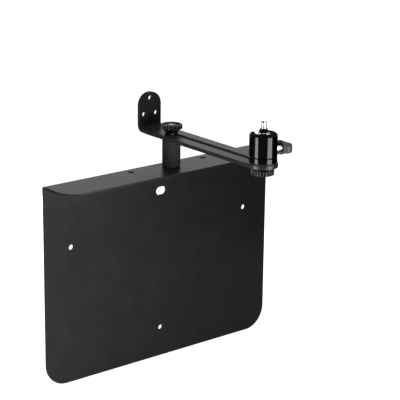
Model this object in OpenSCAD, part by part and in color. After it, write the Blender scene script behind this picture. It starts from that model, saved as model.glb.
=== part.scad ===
// Stand that hangs on the top edge of a bed's headboard and carries a small projector.
// A folded sheet plate hooks over the board. A knurled column on its flange carries a slotted arm,
// and the arm carries a small ball head with a 1/4 inch stud on top.
// Millimetres, +Z up, +X along the plate's width, -Y out over the bed.
// The origin is the centre of the plate's front face, which lies against the back of the board.

/* [Plate] */
// Width of the folded plate
plate_w = 300; // [280:5:340]
// Height of the plate from its bottom edge to the top of the flange
plate_h = 220; // [215:5:260]
// Depth of the flange from the plate's front face to its front edge
flange_d = 44; // [42:1:60]
// Thickness of the plate's sheet
sheet_t = 2; // [1.5:0.25:3]
// Inner radius of the fold
fold_r = 1; // [0.5:0.5:3]
// Radius of the plate's bottom corners
plate_corner_r = 25; // [10:1:35]
// Radius of the flange's front corners
flange_corner_r = 20; // [8:1:24]

/* [Plate holes] */
// Diameter of the three screw holes in the plate
screw_hole_d = 5.5; // [4:0.5:7]
// Distance between the two side screw holes
side_hole_pitch = 234; // [200:2:250]
// Distance of the side screw holes below the flange's top
side_hole_drop = 71; // [60:1:90]
// Distance of the bottom screw hole below the flange's top
bottom_hole_drop = 187; // [150:1:200]
// Length of the hanging slot under the column
hang_slot_l = 13; // [11:1:20]
// Height of the hanging slot
hang_slot_h = 9; // [7:0.5:10]
// Distance of the hanging slot below the flange's top
hang_slot_drop = 31; // [25:1:45]
// Diameter of the two holes in the flange
flange_hole_d = 7; // [5:0.5:8]
// Distance between the two holes in the flange
flange_hole_pitch = 96; // [60:2:140]
// Distance of the flange holes in front of the plate's front face
flange_hole_in = 11; // [9:1:20]

/* [Column] */
// Diameter of the knurled column
column_d = 19.5; // [17:0.5:22]
// Height of the column
column_h = 31; // [26:1:60]
// Distance of the column's axis in front of the plate's front face
column_in = 17; // [15:1:24]
// Height of the plain band at each end of the column
column_band_h = 2.2; // [1:0.1:4]
// Number of knurl diamonds round the column
knurl_count = 26; // [16:1:30]
// Depth of the knurl
knurl_depth = 0.5; // [0.2:0.1:0.8]
// Height of one knurl diamond divided by its width
knurl_aspect = 1.44; // [1:0.01:2.5]
// Diameter of the screws at both ends of the column
column_screw_d = 6; // [5:0.5:6]
// Depth of the screwed hole at each end of the column
column_hole_depth = 12; // [8:1:12]
// Diameter of the flush head of the screw under the column
flush_head_d = 10; // [9:0.5:10.4]

/* [Arm] */
// Width of the arm
arm_w = 30; // [28:1:36]
// Thickness of the arm
arm_t = 4; // [2:0.5:5]
// Distance from the column's axis to the ball head's axis
arm_reach = 144; // [120:1:220]
// Width of the slot along the arm
arm_slot_w = 6.6; // [6.5:0.1:8]
// Length of slot left past each of the two axes
slot_spare = 3; // [1:0.5:5]
// Distance from the column's axis to the front face of the upright tab
tab_back = 36; // [32:0.5:50]
// Width of the upright tab, which is a little narrower than the arm
tab_w = 28; // [24:1:28]
// Height of the tab above the arm's top face
tab_rise = 37.5; // [35:0.5:50]
// Inner radius of the bend between arm and tab
tab_bend_r = 3; // [1:0.5:5]
// Diameter of the three holes in the tab
tab_hole_d = 5.5; // [3:0.5:6]
// Distance between the tab's lower two holes
tab_hole_pitch = 16; // [12:1:20]
// Height of the lower holes above the arm's top face
tab_low_rise = 14; // [11:0.5:18]
// Height of the upper hole above the arm's top face
tab_high_rise = 31; // [28:0.5:32]
// Diameter of the small hole in the arm between column and tab
stop_hole_d = 3.6; // [2:0.2:5]
// Distance of the small hole behind the column's axis
stop_hole_back = 22; // [18:1:26]

/* [Hand knobs] */
// Diameter over the flutes of both hand knobs
knob_d = 23; // [20:0.5:28]
// Number of flutes round a hand knob
flute_count = 24; // [12:1:28]
// Width of one flute
flute_w = 1.3; // [0.6:0.1:1.5]
// Depth of one flute
flute_depth = 1.5; // [0.8:0.1:2]
// Height of the fluted rim on the column's knob
column_knob_rim_h = 4.8; // [4:0.1:10]
// Height of the cone under that rim
column_knob_cone_h = 4.1; // [1.5:0.1:6]
// Height of the fluted rim on the head's knob
head_knob_rim_h = 5.7; // [4:0.1:10]
// Height of the cone above that rim
head_knob_cone_h = 1.6; // [1.5:0.1:6]
// Diameter of the cone's foot
knob_foot_d = 13; // [12:0.5:18]
// Depth of the dish in the knob's face
knob_dish_h = 1.6; // [0.8:0.1:3]
// Diameter of the stud that holds the ball head
head_stud_d = 6.35; // [5:0.05:6.35]

/* [Washers] */
// Thickness of the friction washer between column and arm
friction_washer_t = 1; // [0.5:0.1:2]
// Thickness of the steel washers
washer_t = 0.9; // [0.5:0.1:1.5]
// Diameter of the steel washers
washer_d = 13; // [11.5:0.5:14]
// Thickness of the pad between arm and ball head
pad_t = 0.8; // [0.5:0.1:1.5]

/* [Ball head] */
// Diameter of the ball head's body
head_d = 28; // [27:0.5:32]
// Height of the ball head's base above the pad
base_h = 5.7; // [5:0.1:8]
// Height of the groove between base and body
groove_h = 0.8; // [0.4:0.1:1.5]
// Height of the body above the groove
body_h = 22.7; // [22:0.1:26]
// Radius of the body's top edge
shoulder_r = 2.5; // [1:0.1:3]
// Diameter of the ball
ball_d = 20; // [19.5:0.1:20.4]
// Height of the ball's centre below the body's top face
ball_drop = 8.5; // [8.2:0.1:8.8]
// Diameter of the mouth where it holds the ball
mouth_d = 16.2; // [15.4:0.1:16.8]
// Width of the notch that lets the stem lie flat
notch_w = 10.2; // [10:0.1:11]
// Diameter of the neck where it meets the ball
neck_d = 9.4; // [8:0.1:9.4]
// Diameter of the neck's top
neck_top_d = 7.6; // [7:0.1:8.4]
// Height of the neck's top above the ball's centre
neck_rise = 12.5; // [12:0.1:13.5]
// Diameter of the stud on top
top_stud_d = 6.35; // [5:0.05:6.35]
// Length of the stud above the neck
top_stud_l = 7; // [5:0.5:10]
// Diameter of its shank inside the neck and the ball
stud_shank_d = 5; // [4:0.5:5]

/* [Clamp] */
// Diameter of the clamp screw
clamp_d = 5; // [4:0.5:5]
// Distance of the clamp screw's axis below the ball's centre
clamp_drop = 10; // [9.9:0.1:10.3]
// Distance from the head's axis to the inner end of the wing knob
wing_in = 22.3; // [20:0.1:30]
// Length of the wing knob along its axis
wing_knob_l = 7.4; // [7:0.1:10]
// Diameter of the collar at the knob's inner end
wing_collar_d = 14.6; // [12:0.2:16]
// Diameter of the recess in the collar, round the screw
wing_recess_d = 10.4; // [8:0.2:10.8]
// Span of the wings
wing_span = 20.8; // [18:0.2:26]
// Height of the wings, across their span
wing_h = 10.8; // [8:0.2:12]
// Radius of the wings' corners
wing_corner_r = 3.6; // [2:0.2:3.8]
// Thickness of the wings along the axis
wing_t = 6.2; // [4:0.2:6.4]

/* [Hidden] */
$fn = 96;
eps = 0.01;

// Clearances
run_gap = 0.05;     // radial gap of a screw in its thread
shaft_gap = 0.3;    // radial gap of a screw in a plain hole
seat_gap = 0.1;     // radial gap of the ball in its seats
cavity_gap = 0.3;   // gap between the ball and the bore that it was dropped in through

// Heights, from the plate's middle
flange_z = plate_h / 2;
column_top_z = flange_z + column_h;
arm_z = column_top_z + friction_washer_t;
arm_top_z = arm_z + arm_t;
base_z = arm_top_z + pad_t;
body_z = base_z + base_h + groove_h;
ball_z = body_z + body_h - ball_drop;

// Places along Y
taper_l = 12;       // length over which the arm narrows to the tab's width
column_y = -column_in;
head_y = column_y - arm_reach;
tab_y = column_y + tab_back;
bend_y = tab_y - tab_bend_r;
taper_y = bend_y - taper_l;
arm_end_y = head_y - arm_w / 2;

// Column
core_r = column_d / 2;
band_step = 0.2;
band_r = core_r - band_step;
band_bevel = 0.4;
knurl_h = column_h - 2 * column_band_h;
knurl_w = PI * column_d / knurl_count;
knurl_rows = 2 * round(knurl_h / (knurl_w * knurl_aspect));
screw_socket_d = 4.6;
screw_socket_h = 1.5;
stud_end_gap = 1;

// Washers
friction_inset = 0.75;
pad_inset = 1;

// Knobs
knob_r = knob_d / 2;
knob_edge_r = 0.8;
flute_floor_r = knob_r - flute_depth;
cone_step = 0.8;
cone_top_r = flute_floor_r - cone_step;
dish_wall = 0.6;
dish_r = flute_floor_r - dish_wall;
dish_slope = 1;
boss_r = 4.5;
boss_top_r = 4;
boss_drop = 0.6;

// Ball head
head_r = head_d / 2;
ball_r = ball_d / 2;
seat_r = ball_r + seat_gap;
cavity_r = ball_r + cavity_gap;
mouth_r = mouth_d / 2;
mouth_z = sqrt(seat_r * seat_r - mouth_r * mouth_r);
mouth_flare = 0.8;
spigot_r = cavity_r - seat_gap;
groove_depth = 1.4;
groove_r = head_r - groove_depth;
base_edge = 0.5;
tilt_gap = 0.3;     // gap between the cup and the neck that lies flat
cup_floor = 0.4;    // wall of the cup under the clamp screw
cup_gap = 0.2;      // gap between the cup and the spigot
cup_top = -neck_d / 2 - tilt_gap;
cup_bottom = -clamp_drop - clamp_d / 2 - cup_floor;
spigot_h = body_h - ball_drop + cup_bottom - cup_gap;
thread_extra = 1;
head_thread_h = base_h + thread_extra;
clamp_tip = 6.4;
clamp_cone_h = 1.2;
ball_socket_h = 6;
neck_sink = 0.4;
stud_bevel = 0.5;

// Wing knob
wing_collar_h = 1.8;
wing_recess_h = 1.6;
wing_floor = 1;
wing_corner_x = wing_h / 2 - wing_corner_r;
wing_corner_y = wing_span / 2 - wing_corner_r;

// A flat shape with a rounded corner taken off: the corner is at the origin, the solid lies in -x and -y.
module corner_cut(r, h) {
    translate([-r, -r, 0])
        linear_extrude(h, center = true)
            difference() {
                square(r + 1);
                circle(r);
            }
}

// A slot with round ends, along x, of total length l and width w.
module slot_shape(l, w) {
    square([l - w, w], center = true);
    for (side = [-1, 1])
        translate([side * (l - w) / 2, 0])
            circle(w / 2);
}

// A flat ring that lies on z = 0.
module ring(outer_d, inner_d, h) {
    difference() {
        cylinder(d = outer_d, h = h);
        translate([0, 0, -1])
            cylinder(d = inner_d, h = h + 2);
    }
}

// A plain rod for a screw's thread, with a small bevel at its upper end.
module stud(d, h) {
    cylinder(d = d, h = h - stud_bevel);
    translate([0, 0, h - stud_bevel])
        cylinder(d1 = d, d2 = d - 2 * stud_bevel, h = stud_bevel);
}

// A quarter of a bent sheet's section: inner radius r, thickness t, in the +x +y quarter.
module bend_section(r, t) {
    intersection() {
        difference() {
            circle(r + t);
            circle(r);
        }
        square(r + t);
    }
}

// Stands a shape drawn in x and y up in the Y-Z plane and gives it width w along X.
module across(w) {
    rotate([90, 0, 90])
        linear_extrude(w, center = true)
            children();
}

module back_plate() {
    color("#242427")
    difference() {
        across(plate_w) {
            translate([0, -plate_h / 2])
                square([sheet_t, plate_h - sheet_t - fold_r]);
            translate([-flange_d, flange_z - sheet_t])
                square([flange_d - fold_r, sheet_t]);
            translate([-fold_r, flange_z - sheet_t - fold_r])
                bend_section(fold_r, sheet_t);
        }
        for (side = [0, 1])
            mirror([side, 0, 0]) {
                translate([plate_w / 2, 0, -plate_h / 2])
                    rotate([90, 0, 0])
                        mirror([0, 1, 0])
                            corner_cut(plate_corner_r, 4 * sheet_t);
                translate([plate_w / 2, -flange_d, flange_z])
                    mirror([0, 1, 0])
                        corner_cut(flange_corner_r, 4 * sheet_t);
                translate([side_hole_pitch / 2, 0, flange_z - side_hole_drop])
                    rotate([90, 0, 0])
                        cylinder(d = screw_hole_d, h = 4 * sheet_t, center = true);
                translate([flange_hole_pitch / 2, -flange_hole_in, flange_z])
                    cylinder(d = flange_hole_d, h = 4 * sheet_t, center = true);
            }
        translate([0, 0, flange_z - bottom_hole_drop])
            rotate([90, 0, 0])
                cylinder(d = screw_hole_d, h = 4 * sheet_t, center = true);
        translate([0, 0, flange_z - hang_slot_drop])
            rotate([90, 0, 0])
                linear_extrude(4 * sheet_t, center = true)
                    slot_shape(hang_slot_l, hang_slot_h);
        translate([0, column_y, flange_z - sheet_t - eps])
            cylinder(
                r1 = flush_head_d / 2 + run_gap, r2 = column_screw_d / 2 + run_gap, h = sheet_t + 2 * eps
            );
    }
}

// Skin of the knurled column, one closed surface between plain bands. Each ring is a height and two
// radii, taken by turns round the ring. In the knurl one is a groove and the other a ridge, and each
// ring is half a diamond on from the one below, so the grooves cross the column both ways.
module column_skin() {
    around = 2 * knurl_count;
    knurl = [
        for (row = [0:knurl_rows])
            let (z = column_band_h + knurl_h * row / knurl_rows)
            row % 2 == 0 ? [z, core_r - knurl_depth, core_r] : [z, core_r, core_r - knurl_depth]
    ];
    low_band = [[0, band_r - band_bevel, band_r - band_bevel], [band_bevel, band_r, band_r],
                [column_band_h - band_bevel, band_r, band_r]];
    high_band = [for (i = [2:-1:0]) [column_h - low_band[i][0], low_band[i][1], low_band[i][2]]];
    rings = concat(low_band, knurl, high_band);
    top_ring = len(rings) - 1;
    points = [
        for (ring = rings) for (i = [0:around - 1])
            [ring[1 + i % 2] * cos(360 * i / around), ring[1 + i % 2] * sin(360 * i / around), ring[0]]
    ];
    function at(ring, i) = ring * around + i % around;
    sides = [
        for (ring = [0:top_ring - 1]) for (i = [0:around - 1])
            each (ring + i) % 2 == 1
                ? [[at(ring, i), at(ring + 1, i + 1), at(ring, i + 1)],
                   [at(ring, i), at(ring + 1, i), at(ring + 1, i + 1)]]
                : [[at(ring, i), at(ring + 1, i), at(ring, i + 1)],
                   [at(ring, i + 1), at(ring + 1, i), at(ring + 1, i + 1)]]
    ];
    bottom = [[for (i = [0:around - 1]) at(0, i)]];
    top = [[for (i = [around - 1:-1:0]) at(top_ring, i)]];
    polyhedron(points, concat(sides, bottom, top));
}

module column() {
    color("#1f1f21")
    translate([0, column_y, flange_z])
        difference() {
            column_skin();
            translate([0, 0, -eps])
                cylinder(r = column_screw_d / 2 + run_gap, h = column_hole_depth + eps);
            translate([0, 0, column_h - column_hole_depth])
                cylinder(r = column_screw_d / 2 + run_gap, h = column_hole_depth + eps);
        }
}

// Screw that holds the column from under the flange, with a flush head and a hexagon socket.
module column_base_screw() {
    color("#9a9a9c")
    translate([0, column_y, flange_z - sheet_t])
        difference() {
            union() {
                cylinder(d1 = flush_head_d, d2 = column_screw_d, h = sheet_t);
                translate([0, 0, sheet_t])
                    stud(column_screw_d, column_hole_depth - stud_end_gap);
            }
            translate([0, 0, -eps])
                cylinder(d = screw_socket_d, h = screw_socket_h, $fn = 6);
        }
}

module friction_washer() {
    color("#2c2c2e")
    translate([0, column_y, column_top_z])
        ring(column_d - 2 * friction_inset, column_screw_d + 2 * shaft_gap, friction_washer_t);
}

module arm() {
    slot_l = arm_reach + 2 * slot_spare + arm_slot_w;
    color("#28282b")
    difference() {
        union() {
            translate([0, 0, arm_z])
                linear_extrude(arm_t)
                    polygon([
                        [-arm_w / 2, arm_end_y], [arm_w / 2, arm_end_y], [arm_w / 2, taper_y],
                        [tab_w / 2, bend_y], [-tab_w / 2, bend_y], [-arm_w / 2, taper_y]
                    ]);
            across(tab_w) {
                translate([bend_y, arm_top_z + tab_bend_r])
                    mirror([0, 1])
                        bend_section(tab_bend_r, arm_t);
                translate([tab_y, arm_top_z + tab_bend_r])
                    square([arm_t, tab_rise - tab_bend_r]);
            }
        }
        for (side = [0, 1])
            mirror([side, 0, 0]) {
                translate([arm_w / 2, arm_end_y, arm_z])
                    mirror([0, 1, 0])
                        corner_cut(arm_w / 2, 4 * arm_t);
                translate([tab_w / 2, tab_y, arm_top_z + tab_rise])
                    rotate([90, 0, 0])
                        corner_cut(tab_w / 2, 4 * arm_t);
                translate([tab_hole_pitch / 2, tab_y, arm_top_z + tab_low_rise])
                    rotate([90, 0, 0])
                        cylinder(d = tab_hole_d, h = 4 * arm_t, center = true);
            }
        translate([0, tab_y, arm_top_z + tab_high_rise])
            rotate([90, 0, 0])
                cylinder(d = tab_hole_d, h = 4 * arm_t, center = true);
        translate([0, (column_y + head_y) / 2, arm_z])
            rotate([0, 0, 90])
                linear_extrude(4 * arm_t, center = true)
                    slot_shape(slot_l, arm_slot_w);
        translate([0, column_y + stop_hole_back, arm_z])
            cylinder(d = stop_hole_d, h = 4 * arm_t, center = true);
    }
}

// A hand knob that stands on z = 0 with its dished face up: a cone, a fluted rim, and a raised boss
// in the dish round the stud.
module hand_knob(stud_d, cone_h, rim_h) {
    knob_h = cone_h + rim_h;
    floor_h = knob_h - knob_dish_h;
    difference() {
        rotate_extrude()
            difference() {
                union() {
                    polygon([
                        [0, 0], [knob_foot_d / 2, 0], [cone_top_r, cone_h],
                        [knob_r, cone_h], [knob_r, knob_h - knob_edge_r], [0, knob_h - knob_edge_r]
                    ]);
                    square([knob_r - knob_edge_r, knob_h]);
                    translate([knob_r - knob_edge_r, knob_h - knob_edge_r])
                        circle(knob_edge_r);
                }
                polygon([
                    [boss_r, floor_h], [dish_r - dish_slope, floor_h], [dish_r, knob_h + eps],
                    [0, knob_h + eps], [0, knob_h - boss_drop], [boss_top_r, knob_h - boss_drop]
                ]);
            }
        for (i = [0:flute_count - 1])
            rotate([0, 0, 360 * (i + 0.5) / flute_count])
                translate([flute_floor_r + flute_w / 2, 0, cone_h - eps])
                    linear_extrude(rim_h + 1) {
                        circle(d = flute_w);
                        translate([0, -flute_w / 2])
                            square([flute_depth, flute_w]);
                    }
        translate([0, 0, -1])
            cylinder(d = stud_d, h = knob_h + 2);
    }
}

module column_knob_washer() {
    color("#2a2a2c")
    translate([0, column_y, arm_top_z])
        ring(washer_d, column_screw_d + 2 * shaft_gap, washer_t);
}

module column_knob() {
    color("#1b1b1d")
    translate([0, column_y, arm_top_z + washer_t])
        hand_knob(column_screw_d, column_knob_cone_h, column_knob_rim_h);
}

// Stud of the column's knob, from inside the column to the knob's face.
module column_knob_stud() {
    bottom_z = column_top_z - column_hole_depth + stud_end_gap;
    top_z = arm_top_z + washer_t + column_knob_cone_h + column_knob_rim_h - boss_drop;
    color("#b9babd")
    translate([0, column_y, bottom_z])
        stud(column_screw_d, top_z - bottom_z);
}

module head_knob_washer() {
    color("#2a2a2c")
    translate([0, head_y, arm_z - washer_t])
        ring(washer_d, head_stud_d + 2 * shaft_gap, washer_t);
}

module head_knob() {
    color("#1b1b1d")
    translate([0, head_y, arm_z - washer_t])
        mirror([0, 0, 1])
            hand_knob(head_stud_d, head_knob_cone_h, head_knob_rim_h);
}

// Stud of the head's knob, from the knob's face up into the ball head's base.
module head_knob_stud() {
    bottom_z = arm_z - washer_t - head_knob_cone_h - head_knob_rim_h + boss_drop;
    color("#b9babd")
    translate([0, head_y, bottom_z])
        stud(head_stud_d, base_z + head_thread_h - stud_end_gap - bottom_z);
}

module head_pad() {
    color("#303032")
    translate([0, head_y, arm_top_z])
        ring(head_d - 2 * pad_inset, head_stud_d + 2 * shaft_gap, pad_t);
}

// Base of the ball head, with a neck for the groove and a spigot that closes the body's bore.
module head_base() {
    color("#151517")
    translate([0, head_y, base_z])
        difference() {
            rotate_extrude() {
                polygon([
                    [0, 0], [head_r - base_edge, 0], [head_r, base_edge],
                    [head_r, base_h - base_edge], [head_r - base_edge, base_h], [0, base_h]
                ]);
                translate([0, base_h - eps])
                    square([groove_r, groove_h + eps]);
                translate([0, base_h + groove_h - eps])
                    square([spigot_r, spigot_h + eps]);
            }
            translate([0, 0, -eps])
                cylinder(r = head_stud_d / 2 + run_gap, h = head_thread_h + eps);
        }
}

// Body of the ball head, drawn about the ball's centre: a round shoulder, a bore from below,
// a round seat over the ball, a bevelled mouth and a notch at the back for the stem.
module head_body() {
    low = -(body_h - ball_drop);
    color("#121214")
    translate([0, head_y, ball_z])
        difference() {
            rotate_extrude()
                difference() {
                    union() {
                        translate([0, low])
                            square([head_r, body_h - shoulder_r]);
                        translate([0, low])
                            square([head_r - shoulder_r, body_h]);
                        translate([head_r - shoulder_r, ball_drop - shoulder_r])
                            circle(shoulder_r);
                    }
                    translate([0, low - 1])
                        square([cavity_r, 1 - low]);
                    circle(seat_r);
                    polygon([
                        [0, mouth_z], [mouth_r, mouth_z], [mouth_r + mouth_flare, ball_drop],
                        [mouth_r + mouth_flare, ball_drop + 1], [0, ball_drop + 1]
                    ]);
                }
            translate([0, 0, -clamp_drop])
                rotate([0, 90, 0])
                    cylinder(r = clamp_d / 2 + run_gap, h = 2 * head_r);
            rotate([-90, 0, 0])
                cylinder(d = notch_w, h = 2 * head_r);
            translate([-notch_w / 2, 0, 0])
                cube([notch_w, 2 * head_r, 2 * ball_drop]);
        }
}

// Lower cup that the clamp screw pushes against the ball.
module ball_cup() {
    color("#3a3a3d")
    translate([0, head_y, ball_z])
        difference() {
            translate([0, 0, cup_bottom])
                cylinder(r = cavity_r - seat_gap, h = cup_top - cup_bottom);
            sphere(r = seat_r);
            translate([clamp_tip - seat_gap, 0, -clamp_drop])
                rotate([0, 90, 0])
                    cylinder(r = clamp_d / 2 + run_gap, h = 2 * head_r);
        }
}

module ball() {
    color("#c8cacd")
    translate([0, head_y, ball_z])
        difference() {
            sphere(r = ball_r);
            translate([0, 0, ball_r - ball_socket_h])
                cylinder(r = stud_shank_d / 2 + run_gap, h = ball_socket_h + 1);
        }
}

module ball_neck() {
    foot_z = sqrt(ball_r * ball_r - neck_d * neck_d / 4) - neck_sink;
    color("#161618")
    translate([0, head_y, ball_z])
        difference() {
            translate([0, 0, foot_z])
                cylinder(d1 = neck_d, d2 = neck_top_d, h = neck_rise - foot_z);
            sphere(r = ball_r + run_gap);
            cylinder(r = stud_shank_d / 2 + run_gap, h = neck_rise + 1);
        }
}

module top_stud() {
    bottom = ball_r - ball_socket_h + run_gap;
    color("#c8cacd")
    translate([0, head_y, ball_z]) {
        translate([0, 0, bottom])
            cylinder(d = stud_shank_d, h = neck_rise - bottom);
        translate([0, 0, neck_rise])
            stud(top_stud_d, top_stud_l);
    }
}

// Clamp screw, along +X from the cup to the wing knob's outer end.
module clamp_screw() {
    shank_l = wing_in + wing_knob_l - wing_floor - clamp_tip - clamp_cone_h;
    color("#d4d5d8")
    translate([clamp_tip, head_y, ball_z - clamp_drop])
        rotate([0, 90, 0]) {
            cylinder(d1 = clamp_d - 2 * clamp_cone_h, d2 = clamp_d, h = clamp_cone_h);
            translate([0, 0, clamp_cone_h])
                cylinder(d = clamp_d, h = shank_l);
        }
}

// Wing knob: a collar with a recess round the screw, and a block whose two wings stand out along Y.
module clamp_knob() {
    color("#3c3c40")
    translate([wing_in, head_y, ball_z - clamp_drop])
        rotate([0, 90, 0])
            difference() {
                union() {
                    cylinder(d = wing_collar_d, h = wing_collar_h);
                    translate([0, 0, wing_knob_l - wing_t])
                        linear_extrude(wing_t) {
                            square([wing_h - 2 * wing_corner_r, wing_span], center = true);
                            square([wing_h, wing_span - 2 * wing_corner_r], center = true);
                            for (x = [-1, 1], y = [-1, 1])
                                translate([x * wing_corner_x, y * wing_corner_y])
                                    circle(wing_corner_r);
                        }
                }
                translate([0, 0, -1])
                    cylinder(d = clamp_d, h = wing_knob_l - wing_floor + 1);
                translate([0, 0, -1])
                    cylinder(d = wing_recess_d, h = wing_recess_h + 1);
            }
}

back_plate();
column_base_screw();
column();
friction_washer();
arm();
column_knob_washer();
column_knob();
column_knob_stud();
head_knob_washer();
head_knob();
head_knob_stud();
head_pad();
head_base();
head_body();
ball_cup();
ball();
ball_neck();
top_stud();
clamp_screw();
clamp_knob();
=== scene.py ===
"""A stand that hangs on a headboard: finishes, knurl, threads, knobs, light and camera.

Metres, +Z up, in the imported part's own frame. The origin is the centre of the plate's front face.
"""

import bpy
import numpy as np
from mathutils import Matrix, Vector


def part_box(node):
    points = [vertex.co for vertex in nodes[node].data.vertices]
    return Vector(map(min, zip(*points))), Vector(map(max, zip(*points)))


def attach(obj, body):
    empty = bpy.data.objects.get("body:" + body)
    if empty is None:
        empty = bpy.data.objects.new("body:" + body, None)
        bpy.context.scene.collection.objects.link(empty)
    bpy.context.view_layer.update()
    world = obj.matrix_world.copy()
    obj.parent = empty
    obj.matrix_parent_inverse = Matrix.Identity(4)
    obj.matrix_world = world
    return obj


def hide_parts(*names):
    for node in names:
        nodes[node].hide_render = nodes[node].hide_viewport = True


MM = 0.001
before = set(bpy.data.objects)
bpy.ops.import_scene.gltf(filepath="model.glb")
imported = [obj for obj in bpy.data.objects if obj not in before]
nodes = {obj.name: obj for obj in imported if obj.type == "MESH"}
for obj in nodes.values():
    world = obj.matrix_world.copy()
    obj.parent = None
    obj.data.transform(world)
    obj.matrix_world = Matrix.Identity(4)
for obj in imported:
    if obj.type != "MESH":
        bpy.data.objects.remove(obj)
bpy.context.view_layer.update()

# Axes of the stand, read from the pieces that turn about them
COLUMN_AXIS = (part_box("column")[0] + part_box("column")[1]) / 2
HEAD_AXIS = (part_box("head_base")[0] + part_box("head_base")[1]) / 2


# Colours


def linear(hex_colour):
    """sRGB hex to linear RGBA: below 0.04045 divided by 12.92, above it ((c + 0.055) / 1.055) to the 2.4."""
    c = np.array([int(hex_colour[i : i + 2], 16) for i in (1, 3, 5)]) / 255
    c = np.where(c <= 0.04045, c / 12.92, ((c + 0.055) / 1.055) ** 2.4)
    return (*c, 1.0)


# Materials


def add(tree, kind, sockets=None, **settings):
    """Adds a node, sets its properties, and fills its sockets with values or with links from other sockets."""
    node = tree.nodes.new(kind)
    for name, value in settings.items():
        setattr(node, name, value)
    for name, value in (sockets or {}).items():
        socket = node.inputs[name]
        if isinstance(value, bpy.types.NodeSocket):
            tree.links.new(value, socket)
        else:
            socket.default_value = value
    return node


def empty_material(name):
    """A material with no nodes yet, and its node tree."""
    material = bpy.data.materials.new(name)
    material.use_nodes = True
    material.node_tree.nodes.clear()
    return material, material.node_tree


def finish(name, sizes_mm, colours, roughness, relief_mm, edge_mm=0.0, hollow=None, metallic=0.0, specular=0.5):
    """A finish on Object coordinates, from three noises whose blotches are sizes_mm across.

    The finest, the grain, spreads the roughness; grain and wave together raise the surface by relief_mm;
    the slowest, the cloud, moves between the two colours. Edges are rounded to edge_mm in the shading.
    Where a piece has a hollow attribute, from 0 on a crest to 1 in a groove, the colour goes over to the
    painted shade of hollow and the roughness to that of hollow.
    """
    material, tree = empty_material(name)
    place = add(tree, "ShaderNodeTexCoord").outputs["Object"]
    grain, wave, cloud = (
        add(tree, "ShaderNodeTexNoise", {"Vector": place, "Scale": 1 / (size * MM), "Detail": 2.0}).outputs["Fac"]
        for size in sizes_mm
    )
    # Noise lies mostly between 0.3 and 0.7
    tone = add(tree, "ShaderNodeMapRange", {"Value": cloud, "From Min": 0.3, "From Max": 0.7}).outputs["Result"]
    colour = add(
        tree, "ShaderNodeMix", {0: tone, 6: linear(colours[0]), 7: linear(colours[1])}, data_type="RGBA"
    ).outputs[2]
    gloss = add(tree, "ShaderNodeMapRange", {
        "Value": grain, "From Min": 0.3, "From Max": 0.7, "To Min": roughness[0], "To Max": roughness[1]
    }).outputs["Result"]
    # Painted shade: the colour goes darker in the grooves, by the hollow attribute
    if hollow:
        depth = add(tree, "ShaderNodeAttribute", attribute_name="hollow").outputs["Fac"]
        colour = add(
            tree, "ShaderNodeMix", {0: depth, 6: colour, 7: linear(hollow[0])}, data_type="RGBA"
        ).outputs[2]
        gloss = add(
            tree, "ShaderNodeMapRange", {"Value": depth, "To Min": gloss, "To Max": hollow[1]}
        ).outputs["Result"]
    height = add(tree, "ShaderNodeMath", {0: grain, 1: wave}, operation="ADD").outputs[0]
    relief = {"Height": height, "Distance": relief_mm * MM, "Strength": 1.0}
    if edge_mm:
        relief["Normal"] = add(tree, "ShaderNodeBevel", {"Radius": edge_mm * MM}, samples=6).outputs["Normal"]
    shader = add(tree, "ShaderNodeBsdfPrincipled", {
        "Base Color": colour, "Roughness": gloss, "Metallic": metallic, "Specular IOR Level": specular,
        "Normal": add(tree, "ShaderNodeBump", relief).outputs["Normal"],
    })
    add(tree, "ShaderNodeOutputMaterial", {"Surface": shader.outputs["BSDF"]})
    return material


# Reflections see a white room far brighter than the plain fill, so the black finishes keep a low specular level.
# Knurl and knobs have painted highlight on their crests and painted shade in their grooves, stronger than the
# real tone, so that ridges about a millimetre wide still show from afar.

# Polyester powder coat, sprayed on steel sheet and baked: a dull black skin with fine orange peel
coat = finish("powder_coat", (0.5, 2.0, 24.0), ("#232325", "#28282a"), (0.34, 0.42), 0.03,
              edge_mm=0.35, specular=0.03)
# Mild steel bar, knurled on a lathe and blackened: painted highlight grey on the points, painted shade black in the
# grooves
oxide = finish("black_oxide_steel", (0.4, 1.5, 6.0), ("#3e3e41", "#4a4a4d"), (0.24, 0.32), 0.01,
               hollow=("#020202", 0.6), specular=0.06)
# The same blackened steel, stamped, without the painted highlight: an even black
black_washer = finish("black_oxide_washer", (0.4, 1.5, 6.0), ("#0f0f10", "#161617"), (0.26, 0.36), 0.01,
                      specular=0.06)
# Zinc plate on a steel screw: pale grey metal with faint cloudy patches
zinc = finish("zinc_plate", (0.4, 1.6, 1.6), ("#8e9094", "#9c9ea2"), (0.36, 0.5), 0.004, metallic=1.0)
# The stud's end in the knob's dish: mid grey metal, darker than the turned steel
dark_stud = finish("dark_stud_steel", (0.4, 1.6, 1.6), ("#4c4d50", "#58595c"), (0.36, 0.5), 0.004, metallic=1.0)
# Black nylon, moulded: matt, with a trace of flow
nylon = finish("black_nylon", (0.3, 1.2, 3.0), ("#1c1c1e", "#242426"), (0.5, 0.6), 0.01, specular=0.3)
# Black rubber sheet, calendered: dull, with a fine grain
rubber = finish("pad_rubber", (0.3, 0.9, 4.0), ("#1b1b1b", "#232323"), (0.7, 0.82), 0.02, specular=0.2)
# Black ABS, moulded: soft gloss on the ridges and the tool's dull skin between them; the knob's grey is painted
# highlight and the black in the grooves painted shade
knob_abs = finish("knob_abs", (0.35, 1.2, 5.0), ("#2a2a2c", "#323234"), (0.16, 0.24), 0.006, edge_mm=0.15,
                  hollow=("#010101", 0.7), specular=0.05)
# Grey ABS, moulded in a satin tool: even colour, soft gloss, a very fine spark grain
wing_abs = finish("wing_abs", (0.35, 1.2, 5.0), ("#606064", "#6c6c70"), (0.24, 0.32), 0.008,
                  edge_mm=0.15, specular=0.06)
# Carbon steel, turned and nickel plated: bright, with fine rings left by the tool
steel = finish("turned_steel", (0.3, 1.0, 3.0), ("#8e9093", "#a2a4a7"), (0.16, 0.28), 0.003,
               edge_mm=0.1, metallic=1.0)
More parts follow.
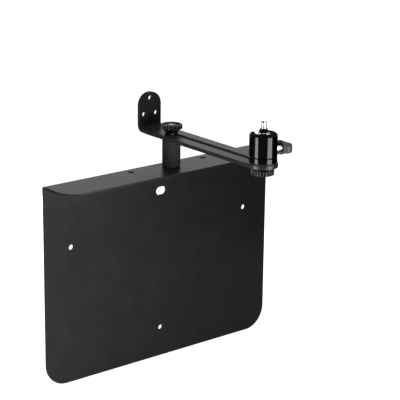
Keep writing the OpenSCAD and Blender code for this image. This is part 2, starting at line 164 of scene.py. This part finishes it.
# Carbon steel with a rolled thread, nickel plated: pale, and blurred by the thread's fine lines
rolled = finish("rolled_steel", (0.25, 0.8, 3.0), ("#d2d3d5", "#dedfe0"), (0.38, 0.5), 0.008,
                edge_mm=0.1, metallic=1.0)
# Steel ball, ground, polished and chromed: a mirror with the faintest haze
chrome = finish("chrome_ball", (0.6, 2.5, 2.5), ("#a6a8ac", "#b2b4b8"), (0.05, 0.1), 0.0005, metallic=1.0)
# Aluminium, turned, polished and dyed black in the anodising bath: deep black with sharp highlights
anodise = finish("gloss_anodise", (0.8, 2.4, 6.0), ("#040405", "#070708"), (0.05, 0.08), 0.002, edge_mm=0.25,
                 specular=0.03)

FINISHES = {
    "back_plate": coat, "arm": coat, "column": oxide, "column_base_screw": zinc,
    "column_knob_washer": black_washer, "head_knob_washer": black_washer,
    "friction_washer": nylon, "ball_cup": nylon, "head_pad": rubber, "column_knob": knob_abs,
    "head_knob": knob_abs, "clamp_knob": wing_abs, "column_knob_stud": dark_stud,
    "head_knob_stud": steel, "top_stud": steel, "clamp_screw": rolled, "ball": chrome,
    "head_base": anodise, "head_body": anodise, "ball_neck": anodise,
}
for node_name, material in FINISHES.items():
    for slot in nodes[node_name].material_slots:
        slot.material = material


# Surfaces worked out on a grid


def grid_piece(name, points, material, wrap_u=False, caps=False, crease=40, hollow=None):
    """A piece from points of shape (u, v, 3) that close on themselves along v.

    Quads join each point to its neighbours along u and v, and the last row to the first if wrap_u.
    Caps are flat polygons over the first and last rows. Edges sharper than crease degrees stay sharp.
    Hollow says how deep in a groove each point lies, from 0 to 1, for the finish's painted groove shade.
    """
    rows, columns = points.shape[:2]
    u, v = np.meshgrid(np.arange(rows if wrap_u else rows - 1), np.arange(columns), indexing="ij")
    next_u, next_v = (u + 1) % rows, (v + 1) % columns
    quads = np.stack([u * columns + v, next_u * columns + v, next_u * columns + next_v, u * columns + next_v], -1)
    faces = quads.reshape(-1, 4).tolist()
    if caps:
        faces += [list(range(columns)), list(range(rows * columns - 1, (rows - 1) * columns - 1, -1))]
    mesh = bpy.data.meshes.new(name)
    mesh.from_pydata(points.reshape(-1, 3), [], faces)
    mesh.polygons.foreach_set("use_smooth", np.ones(len(faces), dtype=bool))
    mesh.set_sharp_from_angle(angle=np.radians(crease))
    mesh.materials.append(material)
    if hollow is not None:
        depth = mesh.attributes.new("hollow", "FLOAT", "POINT")
        depth.data.foreach_set("value", hollow.astype(np.float32).ravel())
    piece = bpy.data.objects.new(name, mesh)
    bpy.context.scene.collection.objects.link(piece)
    return piece


def around(count):
    """Angles of count points round a full turn."""
    return np.linspace(0, 2 * np.pi, count, endpoint=False)


def smooth_path(corners, step):
    """Points at most step apart along straight lines between the corners."""
    corners = np.asarray(corners, dtype=float)
    parts = []
    for start, end in zip(corners[:-1], corners[1:]):
        count = max(1, int(np.ceil(np.hypot(*(end - start)) / step)))
        parts.append(start + (end - start) * np.linspace(0, 1, count, endpoint=False)[:, None])
    return np.concatenate(parts + [corners[-1:]])


def quarter(centre, radius, start, end, count=6):
    """Points of an arc about centre, from angle start to angle end, in degrees."""
    angle = np.radians(np.linspace(start, end, count))
    return [tuple(point) for point in np.stack([centre[0] + radius * np.cos(angle),
                                                centre[1] + radius * np.sin(angle)], -1)]


def turned(axis, r, z, theta):
    """Points at radius r, height z and angle theta about an upright axis, all in millimetres but the axis."""
    return np.stack([
        axis.x + r * np.cos(theta) * MM, axis.y + r * np.sin(theta) * MM, z * MM + 0 * theta
    ], -1)


# Knurled column

COLUMN_R = 9.75
KNURL_COUNT = 26
KNURL_PITCH = 3.35
KNURL_DEPTH = 0.6
KNURL_SHARPNESS = 3
PLAIN_BAND = 2.2
END_BEVEL = 0.5


def knurled_column():
    """Round bar with crossed grooves.

    Two helical families of V grooves, at angles count * theta + z and count * theta - z, cut the bar: the
    radius drops by the depth times the deeper of the two, and each groove is a sharpened cosine.
    The plain bands at both ends fade the grooves out.
    """
    low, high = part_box("column")[0].z / MM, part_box("column")[1].z / MM
    band, bevel, band_r = PLAIN_BAND, END_BEVEL, COLUMN_R - 0.2
    knurled_z = np.linspace(low + band - 0.3, high - band + 0.3, 260)
    z = np.concatenate([[low, low + bevel], knurled_z, [high - bevel, high]])
    theta = around(KNURL_COUNT * 16)
    zz, tt = np.meshgrid(z, theta, indexing="ij")
    turn = KNURL_COUNT * tt / 2
    climb = np.pi * (zz - low) / KNURL_PITCH
    groove = np.maximum(np.abs(np.cos(turn + climb)), np.abs(np.cos(turn - climb))) ** KNURL_SHARPNESS
    inside = np.clip((zz - low - band) / 0.6, 0, 1) * np.clip((high - band - zz) / 0.6, 0, 1)
    r = band_r + inside * (COLUMN_R - band_r) - KNURL_DEPTH * groove * inside
    r -= bevel * ((zz < low + bevel / 2) | (zz > high - bevel / 2))
    # The rows run downwards, so the faces look outwards
    # Painted shade in the grooves and painted highlight on the points; the plain bands at the ends stay mostly dark
    hollow = np.clip(2.2 * groove - 0.1, 0, 1) * inside + 0.85 * (1 - inside)
    points = turned(COLUMN_AXIS, r, zz, tt)
    column = grid_piece("knurled_column", points[::-1], oxide, caps=True, crease=60, hollow=hollow[::-1])
    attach(column, "frame")
    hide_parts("column")


# Hand knobs

KNOB_R = 11.5
FLUTE_COUNT = 24
FIRST_RIDGE = np.radians(-128.5)
FLUTE_DEPTH = 1.7
GRIP_INNER_R = 9.3
# Half widths of a ridge's crest and of its wall, as shares of half a pitch
CREST_SHARE = 0.26
WALL_SHARE = 0.3


def hand_knob(name, body, node, stud_r, cone_h, rim_h):
    """Moulded knob: a closed profile turned about the upright axis, with flutes pressed into its rim.

    The profile climbs the bore, crosses the dished face, rounds the rim and returns under the cone. Past
    the grip's inner radius, a point moves inwards by the flute depth times a smooth step from the edge of
    a ridge's crest to the groove's floor, and by a little more the further it is from the crest's middle.
    """
    low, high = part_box(node)
    upside_down = body == "head_knob"
    height = cone_h + rim_h
    top, edge, under = height, 0.9, 0.6
    profile = smooth_path(
        [(stud_r, 0), (stud_r, top - 0.6), (4.0, top - 0.6)]
        + quarter((4.0, top - 1.1), 0.5, 90, 0)
        + quarter((5.1, top - 1.0), 0.6, 180, 270)
        + [(7.8, top - 1.6)]
        + quarter((7.8, top - 1.0), 0.6, 270, 325)
        + [(9.15, top - 0.2)]
        + quarter((9.6, top - 0.4), 0.4, 150, 90)
        + quarter((KNOB_R - edge, top - edge), edge, 90, 0, 8)
        + quarter((KNOB_R - under, cone_h + under), under, 0, -90)
        + [(9.2, cone_h), (6.9, 0.4), (6.5, 0), (stud_r, 0)],
        0.45,
    )[:-1]
    theta = around(FLUTE_COUNT * 26)
    r, tt = np.meshgrid(profile[:, 0], theta, indexing="ij")
    z = np.broadcast_to(profile[:, 1][:, None], r.shape)
    off_crest = np.abs(((tt - FIRST_RIDGE) * FLUTE_COUNT / (2 * np.pi) + 0.5) % 1 - 0.5) * 2
    wall = np.clip((off_crest - CREST_SHARE) / WALL_SHARE, 0, 1)
    groove = 0.22 * np.minimum(off_crest, 0.45) ** 2 / 0.2025 + 0.78 * wall * wall * (3 - 2 * wall)
    grip = np.clip((r - GRIP_INNER_R) / (KNOB_R - GRIP_INNER_R), 0, 1)
    r = r - grip * groove * FLUTE_DEPTH
    # Painted shade in the grooves, from the ridges' walls inwards
    hollow = np.clip(3 * grip, 0, 1) * np.clip(wall * 2.5, 0, 1)
    axis = (low + high) / 2
    if upside_down:
        points, hollow = turned(axis, r, high.z / MM - z, tt)[::-1], hollow[::-1]
    else:
        points = turned(axis, r, low.z / MM + z, tt)
    knob = grid_piece(name, points, knob_abs, wrap_u=True, crease=50, hollow=hollow)
    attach(knob, body)
    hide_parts(node)


# Threaded stud on the ball head

STUD_R = 3.175
THREAD_PITCH = 1.27
THREAD_DEPTH = 0.62


def threaded_stud():
    """1/4 inch stud with 20 threads to the inch.

    The radius is the outer radius less the depth times the distance to the nearest crest, in half pitches,
    where the crest climbs one pitch a turn. The crests are cut flat, and the top end runs out to a bevel.
    """
    low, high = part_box("ball_neck")[1].z / MM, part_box("top_stud")[1].z / MM
    z = np.linspace(low - 1.0, high, 150)
    theta = around(64)
    zz, tt = np.meshgrid(z, theta, indexing="ij")
    phase = (zz / THREAD_PITCH - tt / (2 * np.pi)) % 1
    slope = np.clip(np.abs(2 * phase - 1) * 1.25 - 0.125, 0, 1)
    r = STUD_R - THREAD_DEPTH * slope
    r = np.minimum(r, STUD_R - 0.5 + (high - zz))
    stud = grid_piece("threaded_stud", turned(HEAD_AXIS, r, zz, tt)[::-1], steel, caps=True, crease=50)
    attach(stud, "stem")
    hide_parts("top_stud")


# Wing knob on the clamp screw

COLLAR_R = 7.3
COLLAR_H = 1.8
RECESS_R = 5.2
WING_BASE = 1.2
WING_HALF_H = 5.4
WING_CORNER_R = 3.6
WING_EDGE_R = 1.1


def wing_knob():
    """Collar turned about the clamp screw, and a block with two wings.

    The block's outline is four quarter turns about the corner centres, all of corner radius less inset.
    The inset and the place along X follow two quarter circles, so every long edge is rounded.
    """
    low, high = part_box("clamp_knob")
    axis = (low + high) / 2
    start, length = low.x / MM, (high.x - low.x) / MM
    collar = np.array(
        [(2.0, COLLAR_H), (2.0, WING_BASE), (RECESS_R - 0.4, WING_BASE), (RECESS_R, 0.8), (RECESS_R, 0.4)]
        + quarter((RECESS_R + 0.4, 0.4), 0.4, 180, 270)
        + quarter((COLLAR_R - 0.6, 0.6), 0.6, 270, 360)
        + quarter((COLLAR_R - 0.3, COLLAR_H - 0.3), 0.3, 0, 90)
    )
    turn = around(96)
    r, tt = np.meshgrid(collar[:, 0], turn, indexing="ij")
    x = np.broadcast_to(collar[:, 1][:, None], r.shape)
    ring = np.stack([(start + x) * MM, axis.y + r * np.cos(tt) * MM, axis.z + r * np.sin(tt) * MM], -1)
    half_y = (high.y - low.y) / 2 / MM
    quarter_turn = np.linspace(0, np.pi / 2, 14)
    angle = np.concatenate([quarter_turn + corner * np.pi / 2 for corner in range(4)])
    side_y = np.repeat([1, -1, -1, 1], len(quarter_turn))
    side_z = np.repeat([1, 1, -1, -1], len(quarter_turn))
    edge = np.array(
        quarter((WING_EDGE_R, WING_BASE + WING_EDGE_R), WING_EDGE_R, 270, 180)
        + quarter((WING_EDGE_R, length - WING_EDGE_R), WING_EDGE_R, 180, 90)
    )
    reach = WING_CORNER_R - edge[:, 0][:, None]
    y = side_y * (half_y - WING_CORNER_R) + reach * np.cos(angle)
    z = side_z * (WING_HALF_H - WING_CORNER_R) + reach * np.sin(angle)
    x = np.broadcast_to(edge[:, 1][:, None], y.shape)
    block = np.stack([(start + x) * MM, axis.y + y * MM, axis.z + z * MM], -1)
    pieces = (grid_piece("wing_collar", ring, wing_abs, wrap_u=True, crease=40),
              grid_piece("wing_block", block[::-1], wing_abs, caps=True, crease=40))
    for piece in pieces:
        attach(piece, "clamp")
        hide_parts("clamp_knob")


knurled_column()
hand_knob("column_grip", "column_knob", "column_knob", 3.0, 4.1, 4.8)
hand_knob("head_grip", "head_knob", "head_knob", STUD_R, 1.6, 5.7)
threaded_stud()
wing_knob()


# Floor, light and camera

# Strengths, where 1 is white: the paper's own glow to the eye, and the room's plain light on surfaces
PAPER_GLOW = 0.87
FILL = 0.15


def seen_by_eye_or_metal(tree):
    """1 for rays from the camera, from a reflection or through something clear, and 0 for the rest."""
    ray = add(tree, "ShaderNodeLightPath").outputs
    seen = add(tree, "ShaderNodeMath", {0: ray["Is Camera Ray"], 1: ray["Is Glossy Ray"]}, operation="MAXIMUM")
    return add(
        tree, "ShaderNodeMath", {0: seen.outputs[0], 1: ray["Is Transmission Ray"]}, operation="MAXIMUM"
    ).outputs[0]


def white_paper():
    """Seamless white backdrop paper: matt, lit to white, and shown white in polished metal too."""
    material, tree = empty_material("white_paper")
    place = add(tree, "ShaderNodeTexCoord").outputs["Object"]
    # Fibres show as blotches of about 1.5 mm
    fibre = add(tree, "ShaderNodeTexNoise", {"Vector": place, "Scale": 1 / (1.5 * MM)}).outputs["Fac"]
    colour = add(
        tree, "ShaderNodeMix", {0: fibre, 6: linear("#f2f2f2"), 7: linear("#fafafa")}, data_type="RGBA"
    ).outputs[2]
    matt = add(tree, "ShaderNodeBsdfDiffuse", {"Color": colour}).outputs[0]
    glow = add(tree, "ShaderNodeEmission", {"Strength": PAPER_GLOW}).outputs[0]
    both = add(tree, "ShaderNodeAddShader", {0: matt, 1: glow}).outputs[0]
    pick = add(tree, "ShaderNodeMixShader", {0: seen_by_eye_or_metal(tree), 1: matt, 2: both}).outputs[0]
    add(tree, "ShaderNodeOutputMaterial", {"Surface": pick})
    return material


FLOOR_HALF = 6.0
FLOOR_DROP = 0.5 * MM
floor_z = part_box("back_plate")[0].z - FLOOR_DROP
floor_mesh = bpy.data.meshes.new("floor")
floor_mesh.from_pydata(
    [(x * FLOOR_HALF, y * FLOOR_HALF, floor_z) for x, y in ((-1, -1), (1, -1), (1, 1), (-1, 1))], [], [(0, 1, 2, 3)]
)
floor_mesh.materials.append(white_paper())
floor = bpy.data.objects.new("floor", floor_mesh)
bpy.context.scene.collection.objects.link(floor)

world = bpy.data.worlds.new("studio")
bpy.context.scene.world = world
world.use_nodes = True
sky = world.node_tree
sky.nodes.clear()
sky_level = add(sky, "ShaderNodeMapRange", {"Value": seen_by_eye_or_metal(sky), "To Min": FILL, "To Max": 1.0})
sky_light = add(sky, "ShaderNodeBackground", {"Strength": sky_level.outputs[0]})
add(sky, "ShaderNodeOutputWorld", {"Surface": sky_light.outputs[0]})
sky_light.inputs["Color"].default_value = linear("#ffffff")


def softbox(name, place, target, width, height, power, reflect_only=False):
    """A rectangular soft light at place, turned to target."""
    lamp = bpy.data.lights.new(name, "AREA")
    lamp.shape = "RECTANGLE"
    lamp.size, lamp.size_y = width, height
    lamp.energy = power
    box = bpy.data.objects.new(name, lamp)
    box.location = place
    box.rotation_mode = "QUATERNION"
    box.rotation_quaternion = (Vector(target) - Vector(place)).to_track_quat("-Z", "Y")
    box.visible_camera = False
    box.visible_diffuse = not reflect_only
    bpy.context.scene.collection.objects.link(box)
    return box


HEAD_MIDDLE = (HEAD_AXIS.x, HEAD_AXIS.y, 0.16)


def black_card(name, corners):
    """A card that only reflections see, so that polished surfaces have something dark to show."""
    material, tree = empty_material(name)
    dark = add(tree, "ShaderNodeBsdfDiffuse", {"Color": linear("#050505")})
    add(tree, "ShaderNodeOutputMaterial", {"Surface": dark.outputs[0]})
    mesh = bpy.data.meshes.new(name)
    mesh.from_pydata(corners, [], [(0, 1, 2, 3)])
    mesh.materials.append(material)
    card = bpy.data.objects.new(name, mesh)
    card.visible_camera = card.visible_diffuse = card.visible_shadow = card.visible_transmission = False
    bpy.context.scene.collection.objects.link(card)


CARD_Z = 0.2
# Dark cards over the ball give the chrome its black
black_card("card_over_ball", [
    (-0.013, -0.148, CARD_Z), (0.013, -0.148, CARD_Z), (0.013, -0.174, CARD_Z), (-0.013, -0.174, CARD_Z)
])
black_card("card_behind_head", [
    (0.015, -0.05, CARD_Z), (0.1, -0.05, CARD_Z), (0.1, -0.15, CARD_Z), (0.015, -0.15, CARD_Z)
])
# A low lamp behind shows the back as plainly as the front, and stays out of the reflections
softbox("back_fill", (0.05, 0.6, 0.0), (0, 0, 0), 0.5, 0.4, 4.0).visible_glossy = False
# Dark flags beside the head and behind the plate keep the rims of the gloss black head dark
black_card("flag_right", [(0.2, -0.36, -0.05), (0.2, -0.01, -0.05), (0.2, -0.01, 0.16), (0.2, -0.36, 0.16)])
black_card("flag_behind_plate", [
    (-0.25, 0.09, -0.1), (0.12, 0.09, -0.1), (0.12, 0.09, 0.105), (-0.25, 0.09, 0.105)
])
softbox("overhead", (0.1, -0.2, 1.3), (0, -0.1, 0.1), 1.4, 1.4, 5.5)
softbox("side_left", (-0.27, -0.26, -0.15), (-0.1, 0, -0.08), 0.22, 0.3, 4.1)
softbox("behind", (0.9, 1.15, 0.5), (0, -0.1, 0.12), 1.4, 0.8, 5.0, reflect_only=True)
softbox("left_strip", (-0.155, -0.1475, 0.113), HEAD_MIDDLE, 0.065, 0.125, 2.3, reflect_only=True)
softbox("right_strip", (0.0275, -0.308, 0.113), HEAD_MIDDLE, 0.1, 0.125, 3.3, reflect_only=True)

# The camera was fitted to the photograph's edges: focal length in pixels of the 400 pixel frame, and its turn
FOCAL_PX = 1536.7
FRAME_PX = 400
YAW, PITCH, ROLL = np.radians([39.612, 16.882, 0.716])
CAMERA_PLACE = Vector((-970.5, -1237.9, 546.3)) * MM
forward = Vector((np.sin(YAW) * np.cos(PITCH), np.cos(YAW) * np.cos(PITCH), -np.sin(PITCH)))
level = Vector((np.cos(YAW), -np.sin(YAW), 0))
upright = level.cross(forward)
right = level * np.cos(ROLL) + upright * np.sin(ROLL)
up = upright * np.cos(ROLL) - level * np.sin(ROLL)
camera_data = bpy.data.cameras.new("camera")
camera = bpy.data.objects.new("camera", camera_data)
camera_data.sensor_width = 36
camera_data.lens = FOCAL_PX / FRAME_PX * camera_data.sensor_width
camera_data.clip_end = 50
turn = Matrix((right, up, -forward)).transposed().to_4x4()
camera.matrix_world = Matrix.Translation(CAMERA_PLACE) @ turn
bpy.context.scene.collection.objects.link(camera)
bpy.context.scene.camera = camera
bpy.context.scene.view_settings.view_transform = "Standard"
